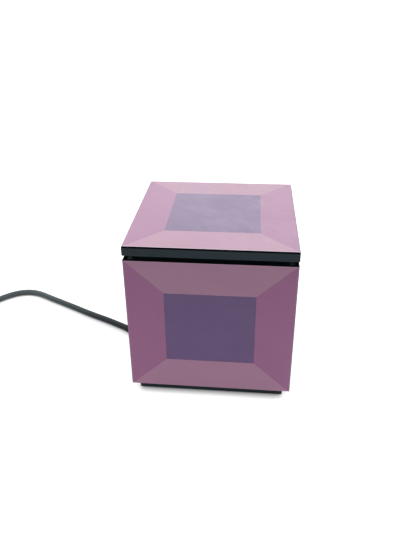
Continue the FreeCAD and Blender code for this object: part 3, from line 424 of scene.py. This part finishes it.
def sheath(name, colour, painted_lit_colour=None, gloss=0.4):
    """PVC flex: satin with a fine drawn grain and a few scuffs, painted lighter away from the lamp and
    darker near it, a painted shade and reflection of the lamp.
    """
    patch_scale, scuff_scale, grain_scale, grain_depth = 35, 260, 1400, 0.03 * mm
    dark_share, scuff_share, scuff_grey = 0.8, 0.12, srgb(140, 146, 146)
    paint = Paint(name, Specular_IOR_Level=gloss)
    patch = paint.noise(patch_scale, detail=3, seed=11.0)
    scuff = paint.remap(paint.noise(scuff_scale, detail=5, roughness=0.7, seed=12.0), 0.58, 0.78)
    grain = paint.noise(grain_scale, detail=2, seed=13.0)
    dark = scaled(colour, dark_share)
    if painted_lit_colour:
        # Painted light: the flex is lighter away from the lamp and darker near it, as painted shade and
        # reflection of the lamp
        away = paint.remap(paint.axis(0), painted_light_starts, painted_light_full, smooth=True)
        colour = paint.blend(away, colour, painted_lit_colour)
        dark = paint.blend(away, dark, scaled(painted_lit_colour, dark_share))
    shade = paint.blend(paint.remap(patch, 0.35, 0.65), dark, colour)
    shade = paint.blend(paint.calc("MULTIPLY", scuff, scuff_share), shade, scuff_grey)
    rough = paint.remap(scuff, 0.0, 1.0, 0.4, 0.55)
    return paint.finish(shade, rough, paint.bump(grain, grain_depth, 0.5))


def woven(name, colour):
    """Webbing: a fine plain weave of raised threads, painted paler on their tops and darker in the dips
    as painted highlight and shade.
    """
    thread_pitch, thread_depth, fibre_scale = 0.9 * mm, 0.12 * mm, 1800
    paint = Paint(name, Specular_IOR_Level=0.2, Sheen_Weight=0.3)
    waves = []
    for axis in range(3):
        wave = paint.calc("SINE", paint.calc("MULTIPLY", paint.axis(axis), 2 * math.pi / thread_pitch))
        waves.append(wave)
    weave = paint.calc("MULTIPLY", paint.calc("MULTIPLY", waves[0], waves[1]), waves[2])
    fibre = paint.noise(fibre_scale, detail=2, seed=15.0)
    height = paint.calc("ADD", paint.remap(weave, -1.0, 1.0), paint.calc("MULTIPLY", fibre, 0.5))
    # Raised threads painted paler as a painted highlight, the dips left darker as painted shade
    pale = tuple(min(1.0, value * 1.7 + 0.01) for value in colour[:3]) + (1.0,)
    shade = paint.blend(paint.remap(height, 0.3, 1.2), colour, pale)
    return paint.finish(shade, 0.85, paint.bump(height, thread_depth, 0.8))


def dress(names, material):
    """The finish of carried-over nodes, set in their objects' own slots."""
    for name in names:
        for slot in nodes[name].material_slots:
            slot.material = material


side_sizes = (half, panel_half_height, inlay_half_width, inlay_half_height)
lid_sizes = (half, half, lid_inlay_half, lid_inlay_half)
# The last number of each call sets how much lighter the panel's foot is painted, as light bounced from
# the floor
dress(["front_panel", "back_panel"],
      laminate("laminate_front_back", 0, 2, panel_middle, side_sizes, 1, half, 0.3, 0.01, 0.0, 0.12))
dress(["right_panel", "hinge_side_panel"],
      laminate("laminate_sides", 1, 2, panel_middle, side_sizes, 0, half, 0.3, 0.01, 0.0, 0.12))
dress(["lid_panel"], laminate("laminate_lid", 0, 1, 0.0, lid_sizes, 2, lid_top, 0.5, 0.09, 0.7, 0.0))


finishes = {}


def dress_slot(slot, material):
    """The finish of every node that the record gives this slot."""
    parts = frame["record"]["subparts"]
    dress([part["node"] for part in parts if part["material_slot"] == slot], material)
    finishes[slot] = material


dress_slot("black_moulding",
           moulding("black_moulding", srgb(33, 45, 52), 0.5, 700, 0.05 * mm, specular=0.14))
dress_slot("black_rubber",
           moulding("black_rubber", srgb(26, 29, 34), 0.7, 500, 0.05 * mm, specular=0.25))
# The flex's second colour is painted light: lighter away from the lamp, darker near it as painted shade
flex = sheath("cord_sheath", srgb(22, 31, 38), srgb(83, 94, 96), 0.18)
dress_slot("cord_sheath", flex)
cord.data.materials.append(flex)
dress_slot("plug_plastic", moulding("plug_plastic", srgb(34, 40, 43), 0.42, 600, 0.03 * mm, 0.5 * mm))
dress_slot("zinc_steel", metal("zinc_steel", srgb(200, 201, 197), 0.32))
dress_slot("bright_aluminium", metal("bright_aluminium", srgb(226, 227, 228), 0.24, (0.06, 1, 1)))
dress_slot("brass", metal("brass", srgb(204, 178, 118), 0.3))
dress_slot("clear_glass", glass("clear_glass"))
dress_slot("tungsten", metal("tungsten", srgb(110, 108, 106), 0.4))
dress_slot("pale_plastic", moulding("pale_plastic", srgb(222, 218, 206), 0.5, 600, 0.03 * mm))
dress_slot("nylon", moulding("nylon", srgb(206, 204, 196), 0.45, 600, 0.03 * mm))
dress_slot("spring_steel", metal("spring_steel", srgb(170, 171, 174), 0.3))
dress_slot("brown_insulation", sheath("brown_insulation", srgb(96, 58, 36)))
dress_slot("blue_insulation", sheath("blue_insulation", srgb(40, 84, 150)))
dress_slot("strap_fabric", woven("strap_fabric", srgb(34, 35, 38)))

# Detailed pieces. Each one is lofted through rings of points, in metres


def ring(centre, side, up, half_width, half_height, power=2.0, count=32):
    """Points round a superellipse across the line: power 2 is an oval, and more is squarer."""
    points = []
    for index in range(count):
        angle = 2 * math.pi * index / count
        cosine, sine = math.cos(angle), math.sin(angle)
        across = math.copysign(abs(cosine) ** (2 / power), cosine) * half_width
        upward = math.copysign(abs(sine) ** (2 / power), sine) * half_height
        points.append(centre + side * across + up * upward)
    return points


def loft_piece(name, lofts, body, slot, material, *replaced):
    """One piece of one or more lofts, each given as its rings and whether they close on themselves."""
    form = bmesh.new()
    for rings, closed in lofts:
        rows = [[form.verts.new(point) for point in points] for points in rings]
        count = len(rows[0])
        pairs = list(zip(rows, rows[1:])) + ([(rows[-1], rows[0])] if closed else [])
        for low, high in pairs:
            for turn in range(count):
                beside = (turn + 1) % count
                form.faces.new((low[turn], low[beside], high[beside], high[turn]))
        if not closed:
            form.faces.new(rows[0])
            form.faces.new(rows[-1])
    bmesh.ops.recalc_face_normals(form, faces=form.faces)
    for face in form.faces:
        face.smooth = len(face.verts) == 4
    mesh = bpy.data.meshes.new(name)
    form.to_mesh(mesh)
    form.free()
    mesh.set_sharp_from_angle(angle=math.radians(48))
    mesh.materials.append(material)
    piece = bpy.data.objects.new(name, mesh)
    bpy.context.scene.collection.objects.link(piece)
    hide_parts(*replaced)
    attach(piece, body)
    return piece


def ease(share):
    """A smooth step from 0 to 1."""
    share = min(max(share, 0.0), 1.0)
    return share * share * (3 - 2 * share)


def between(stops, place):
    """The values at a place between stops, each a place with its values."""
    for (low, *first), (high, *second) in zip(stops, stops[1:]):
        if place <= high:
            share = (place - low) / (high - low)
            return [a + (b - a) * share for a, b in zip(first, second)]
    return stops[-1][1:]


upright = Vector((0, 0, 1))


def make_plug(material):
    """Moulded two-pin plug: square nose, ribbed waist and a jointed boot round the flex."""
    tail = Vector((-253.489, 56.823, 6.8)) * mm
    bearing = math.radians(99.18)
    heading = Vector((math.cos(bearing), math.sin(bearing), 0))
    side = heading.cross(upright)
    groove_start, groove_end, groove_pitch, groove_half, groove_depth = -9.2, -0.8, 2.1, 0.45, 0.75
    rib_start, rib_end, rib_pitch, rib_sink, rib_wide, rib_high = 6.6, 14.6, 2.0, 0.1, 0.5, 0.45
    # Place along the plug, half width, half height and squareness, in millimetres
    stops = [
        (-10.0, 2.5, 2.5, 2.0), (-9.6, 3.0, 3.0, 2.0), (-0.6, 4.3, 4.2, 2.0), (0.0, 4.5, 4.4, 2.2),
        (0.05, 5.6, 5.0, 2.6), (0.7, 6.5, 5.8, 3.0), (5.5, 6.5, 6.0, 3.2), (8.5, 6.9, 6.0, 3.4),
        (10.5, 8.0, 6.0, 3.6), (13.0, 10.9, 6.0, 4.0), (16.0, 14.4, 6.1, 4.4), (18.5, 16.6, 6.4, 4.8),
        (21.0, 17.4, 6.7, 5.2), (24.0, 17.5, 6.8, 5.6), (34.4, 17.5, 6.8, 5.6), (35.3, 17.25, 6.55, 5.4),
        (35.8, 16.7, 6.1, 5.2), (36.0, 16.0, 5.5, 5.0),
    ]
    rings = []
    places = [-10.0 + 0.2 * step for step in range(125)]
    places += [16, 17, 18.5, 19.5, 21, 24, 29, 34.4, 34.9, 35.3, 35.6, 35.8, 35.92, 36.0]
    for place in places:
        wide, high, power = between(stops, place)
        if groove_start < place < groove_end:
            off_middle = abs((place - groove_start) % groove_pitch - groove_pitch / 2)
            groove = groove_depth * ease(1 - off_middle / groove_half)
            wide, high = wide - groove, high - groove
        if rib_start < place < rib_end:
            rib = 0.5 - 0.5 * math.cos(2 * math.pi * (place - rib_start) / rib_pitch)
            wide, high = wide - rib_sink - rib_wide * rib, high - rib_sink - rib_high * rib
        middle = tail + heading * place * mm
        rings.append(ring(middle, side, upright, wide * mm, high * mm, power, 48))
    return loft_piece("plug_moulding", [(rings, False)], "base", "plug_plastic", material, "plug_body")


def route_line():
    """The flex's middle line, read from its own curve."""
    bare = cord.copy()
    bare.data = cord.data.copy()
    bare.data.bevel_depth = 0
    line = bpy.data.meshes.new_from_object(bare)
    points = [vertex.co.copy() for vertex in line.vertices]
    curve = bare.data
    bpy.data.objects.remove(bare)
    bpy.data.curves.remove(curve)
    bpy.data.meshes.remove(line)
    return points


def place_along(points, reach):
    """The place and heading at a reach along a line of points."""
    for first, second in zip(points, points[1:]):
        run = (second - first).length
        if reach <= run:
            break
        reach -= run
    heading = (second - first).normalized()
    return first + heading * reach, heading


def make_boot(material):
    """Tapered, jointed strain relief: collar and neck in the wall, then round and along the flex."""
    wall, across, level = -44.8, 7.4, 4.2
    turn_radius, turn = 42.0, math.radians(28.8)
    free_level = lead_route[0][2]
    # Depth behind the wall's face, half width, half height and squareness, in millimetres
    collar = ((3.5, 3.8, 2.0, 5), (3.4, 4.0, 2.2, 5), (2.1, 4.0, 2.2, 5), (2.0, 2.5, 2.5, 2),
              (0.0, 2.5, 2.5, 2))
    # Place along the boot, half width and half height
    taper = [(0.0, 3.3, 2.2), (0.5, 4.0, 2.5), (21.2, 2.62, 2.46), (21.8, 2.45, 2.4), (22.1, 2.25, 2.25)]
    groove_start, groove_end, groove_pitch, groove_half, groove_depth = 3.0, 19.8, 2.8, 0.6, 0.6
    groove_fades_at, groove_fade, groove_flat = 22.0, 8, 0.8
    inward, sideways = Vector((1, 0, 0)), Vector((0, -1, 0))
    rings = []
    for back, wide, high, power in collar:
        centre = Vector((wall, across, level)) + inward * back
        rings.append(ring(centre * mm, sideways, upright, wide * mm, high * mm, power))
    arc_length, sleeve = turn_radius * turn, 1.0
    along_flex = [point / mm for point in route_line()]
    length = arc_length + sleeve
    steps = 100
    for step in range(steps + 1):
        place = length * step / steps
        if place <= arc_length:
            share = place / arc_length
            angle = turn * share
            centre = Vector((wall - turn_radius * math.sin(angle),
                             across + turn_radius * (1 - math.cos(angle)),
                             level + (free_level - level) * ease(share)))
            heading = Vector((-math.cos(angle), math.sin(angle), 0))
        else:
            centre, heading = place_along(along_flex, place - arc_length)
        wide, high = between(taper, place)
        high = min(high, centre.z)
        if groove_start < place < groove_end:
            off_middle = abs((place - groove_start) % groove_pitch - groove_pitch / 2)
            groove = groove_depth * ease(1 - off_middle / groove_half)
            groove *= min(1.0, (groove_fades_at - place) / groove_fade)
            wide, high = wide - groove, high - groove * groove_flat
        side = heading.cross(upright).normalized()
        rings.append(ring(centre * mm, side, side.cross(heading), wide * mm, high * mm))
    return loft_piece("cord_boot", [(rings, False)], "base", "black_rubber", material, "strain_relief")


def strip_rings(places, closed, middle, out, half_width, half_thicks):
    """Rings along a flat strip in an upright plane, its places given as reach and level."""
    squareness, count = 7.0, 20
    along = out.cross(upright)
    last = len(places) - 1
    rings = []
    for index, (reach, level) in enumerate(places):
        before, after = places[max(index - 1, 0)], places[min(index + 1, last)]
        if closed:
            before, after = places[index - 1], places[(index + 1) % len(places)]
        way = (out * (after[0] - before[0]) + upright * (after[1] - before[1])).normalized()
        centre = middle + out * reach + upright * level
        rings.append(ring(centre, along, way.cross(along), half_width, half_thicks[index],
                          squareness, count))
    return rings


def arc_places(centre, radius, start, end, steps):
    """Places on an arc, as reach and level, from one angle to another in degrees."""
    angles = [math.radians(start + (end - start) * step / steps) for step in range(steps + 1)]
    reach, level = centre
    return [(reach + radius * math.cos(angle), level + radius * math.sin(angle)) for angle in angles]


def make_ties(material):
    """Three hook-and-loop ties snug round the coil, each with its end pressed down on top."""
    middle = Vector((-212.995, -0.068, 0)) * mm
    inner, outer, foot, top = 13.6 * mm, 37.6 * mm, 0.45 * mm, 21.05 * mm
    corner, half_width, half_thick = 3.4 * mm, 5.5 * mm, 0.45 * mm
    flap_steps, flap_step, flap_lift, lifted_step = 8, 1.6 * mm, 0.12 * mm, 7
    flap_thin, flap_end = 0.96, 0.5
    near, far, low, high = inner + corner, outer - corner, foot + corner, top - corner
    loop = []
    for centre, start in (((far, low), -90), ((far, high), 0), ((near, high), 90), ((near, low), 180)):
        loop += arc_places(centre, corner, start, start + 90, 8)
    flap = arc_places((far, high), corner + 2 * half_thick, 0, 90, 6)
    flap += [(far - step * flap_step, top + 2 * half_thick + (flap_lift if step == lifted_step else 0))
             for step in range(1, flap_steps + 1)]
    flap_thicks = [half_thick * flap_end]
    flap_thicks += [half_thick * flap_thin] * (len(flap) - 2)
    flap_thicks += [half_thick * flap_end]
    lofts = []
    for degrees in (92.0, 212.0, 332.0):
        out = Vector((math.cos(math.radians(degrees)), math.sin(math.radians(degrees)), 0))
        lofts.append((strip_rings(loop, True, middle, out, half_width, [half_thick] * len(loop)), True))
        lofts.append((strip_rings(flap, False, middle, out, half_width, flap_thicks), False))
    return loft_piece("coil_ties", lofts, "base", "strap_fabric", material, "coil_straps")


def wire_rings(points, radius, count=8):
    """Rings along a thin wire."""
    rings = []
    for index, point in enumerate(points):
        way = (points[min(index + 1, len(points) - 1)] - points[max(index - 1, 0)]).normalized()
        side = way.orthogonal() if abs(way.z) > 0.9 else way.cross(upright)
        side.normalize()
        rings.append(ring(point, side, way.cross(side), radius, radius, 2.0, count))
    return rings


def make_filament(material):
    """Wound tungsten wire between its two lead wires."""
    level, span, root = 71.2, 8.0, 59.2
    turns, per_turn, winding = 26, 12, 0.38
    wound_radius, lead_radius = 0.1 * mm, 0.25 * mm
    # Reach to each side and height of a lead wire, in millimetres
    lead_places = ((1.4, root - 0.8), (1.7, root + 1.5), (3.2, root + 4.5), (6.4, root + 9.0),
                   (7.8, level - 0.9), (span, level + 0.2))
    coil = []
    for step in range(turns * per_turn + 1):
        share = step / (turns * per_turn)
        angle = 2 * math.pi * step / per_turn
        place = Vector((span * (2 * share - 1), winding * math.cos(angle),
                        level + winding * math.sin(angle)))
        coil.append(place * mm)
    lofts = [(wire_rings(coil, wound_radius, 6), False)]
    for way in (-1, 1):
        lead = [Vector((way * reach, 0, height)) * mm for reach, height in lead_places]
        lofts.append((wire_rings(lead, lead_radius), False))
    return loft_piece("wound_filament", lofts, "base", "tungsten", material, "bulb_filament")


def make_cap(material):
    """The bulb's rolled screw cap."""
    foot, top = 19.2, 37.2
    count, steps, pitch = 48, 120, 2.82
    cap_radius, thread_depth = 6.95, 0.62
    thread_starts, thread_grows, thread_stops, thread_ends = 0.8, 1.2, 3.6, 1.4
    edge_drop, edge_start, edge_length = 0.75, 0.1, 0.9
    rings = []
    for step in range(steps + 1):
        height = foot + (top - foot) * step / steps
        fade = ease((height - foot - thread_starts) / thread_grows)
        fade *= ease((top - thread_stops - height) / thread_ends)
        edge = ease((height - foot + edge_start) / edge_length)
        points = []
        for index in range(count):
            angle = 2 * math.pi * index / count
            wave = 0.5 - 0.5 * math.cos(2 * math.pi * height / pitch - angle)
            radius = cap_radius - edge_drop * (1 - edge) - thread_depth * wave * fade
            points.append(Vector((radius * math.cos(angle), radius * math.sin(angle), height)) * mm)
        rings.append(points)
    return loft_piece("rolled_cap", [(rings, False)], "base", "bright_aluminium", material, "bulb_cap")


make_plug(finishes["plug_plastic"])
make_boot(finishes["black_rubber"])
make_ties(finishes["strap_fabric"])
make_filament(finishes["tungsten"])
make_cap(finishes["bright_aluminium"])

# Light: a soft box behind and above, one on each side, and a pale room


def area_light(name, place, target, width, height, power):
    """A white rectangle of light that faces its target."""
    data = bpy.data.lights.new(name, "AREA")
    data.shape = "RECTANGLE"
    data.size, data.size_y = width, height
    data.energy = power
    lamp = bpy.data.objects.new(name, data)
    bpy.context.scene.collection.objects.link(lamp)
    lamp.location = place
    lamp.rotation_mode = "QUATERNION"
    lamp.rotation_quaternion = (Vector(target) - Vector(place)).to_track_quat("-Z", "Y")


def clear_ray(tree):
    """1 for rays of the camera, of gloss and through glass, and 0 for those that light things."""
    path = tree.nodes.new("ShaderNodeLightPath")
    share = path.outputs["Is Camera Ray"]
    for name in ("Is Glossy Ray", "Is Transmission Ray"):
        both = tree.nodes.new("ShaderNodeMath")
        both.operation = "MAXIMUM"
        tree.links.new(share, both.inputs[0])
        tree.links.new(path.outputs[name], both.inputs[1])
        share = both.outputs[0]
    return share


def make_world():
    """A white room to the camera, gloss and glass, and a dimmer one to everything that it lights."""
    lit_strength, seen_strength = 0.35, 1.0
    world = bpy.data.worlds.new("room")
    bpy.context.scene.world = world
    world.use_nodes = True
    tree = world.node_tree
    back = tree.nodes["Background"]
    back.inputs["Color"].default_value = (1, 1, 1, 1)
    level = tree.nodes.new("ShaderNodeMapRange")
    level.inputs["To Min"].default_value = lit_strength
    level.inputs["To Max"].default_value = seen_strength
    tree.links.new(clear_ray(tree), level.inputs["Value"])
    tree.links.new(level.outputs[0], back.inputs["Strength"])


def make_floor():
    """A pale table top that keeps the soft shadow and fades to white for the camera; its glow is weaker
    near the lamp and cut by ambient occlusion, a painted shade round the lamp and a painted contact
    shadow.
    """
    reach, painted_contact_reach = 6.0, 5 * mm
    glow_near, glow_far, near_share, far_share = 0.4, 1.4, 0.56, 1.0
    mesh = bpy.data.meshes.new("floor")
    mesh.from_pydata([(-reach, -reach, 0), (reach, -reach, 0), (reach, reach, 0), (-reach, reach, 0)], [],
                     [(0, 1, 2, 3)])
    floor = bpy.data.objects.new("floor", mesh)
    bpy.context.scene.collection.objects.link(floor)
    material = bpy.data.materials.new("pale_floor")
    material.use_nodes = True
    tree = material.node_tree
    shader = tree.nodes["Principled BSDF"]
    shader.inputs["Base Color"].default_value = (0.86, 0.86, 0.86, 1)
    shader.inputs["Roughness"].default_value = 0.7
    shader.inputs["Specular IOR Level"].default_value = 0.1
    shader.inputs["Emission Color"].default_value = (1, 1, 1, 1)
    close = tree.nodes.new("ShaderNodeAmbientOcclusion")
    close.samples = 12
    close.inputs["Distance"].default_value = painted_contact_reach
    place = tree.nodes.new("ShaderNodeTexCoord")
    reach_out = tree.nodes.new("ShaderNodeVectorMath")
    reach_out.operation = "LENGTH"
    tree.links.new(place.outputs["Object"], reach_out.inputs[0])
    far = tree.nodes.new("ShaderNodeMapRange")
    for socket, value in (("From Min", glow_near), ("From Max", glow_far),
                          ("To Min", near_share), ("To Max", far_share)):
        far.inputs[socket].default_value = value
    tree.links.new(reach_out.outputs["Value"], far.inputs["Value"])
    glow_with_painted_shade = clear_ray(tree)
    # Glow times occlusion and reach: a painted contact shadow and painted shade near the lamp
    for share in (close.outputs["AO"], far.outputs[0]):
        times = tree.nodes.new("ShaderNodeMath")
        times.operation = "MULTIPLY"
        tree.links.new(glow_with_painted_shade, times.inputs[0])
        tree.links.new(share, times.inputs[1])
        glow_with_painted_shade = times.outputs[0]
    tree.links.new(glow_with_painted_shade, shader.inputs["Emission Strength"])
    mesh.materials.append(material)


make_world()
make_floor()
area_light("soft_box_behind", (0.1, 1.5, 1.15), (0, 0, 0.08), 2.2, 1.0, 14.5)
area_light("soft_box_left", (-1.1, -0.1, 1.32), (0, 0, 0.05), 1.2, 1.0, 12.5)
area_light("soft_box_right", (1.1, -0.1, 1.32), (0, 0, 0.05), 1.2, 1.0, 14)

bpy.context.scene.view_settings.view_transform = "Standard"
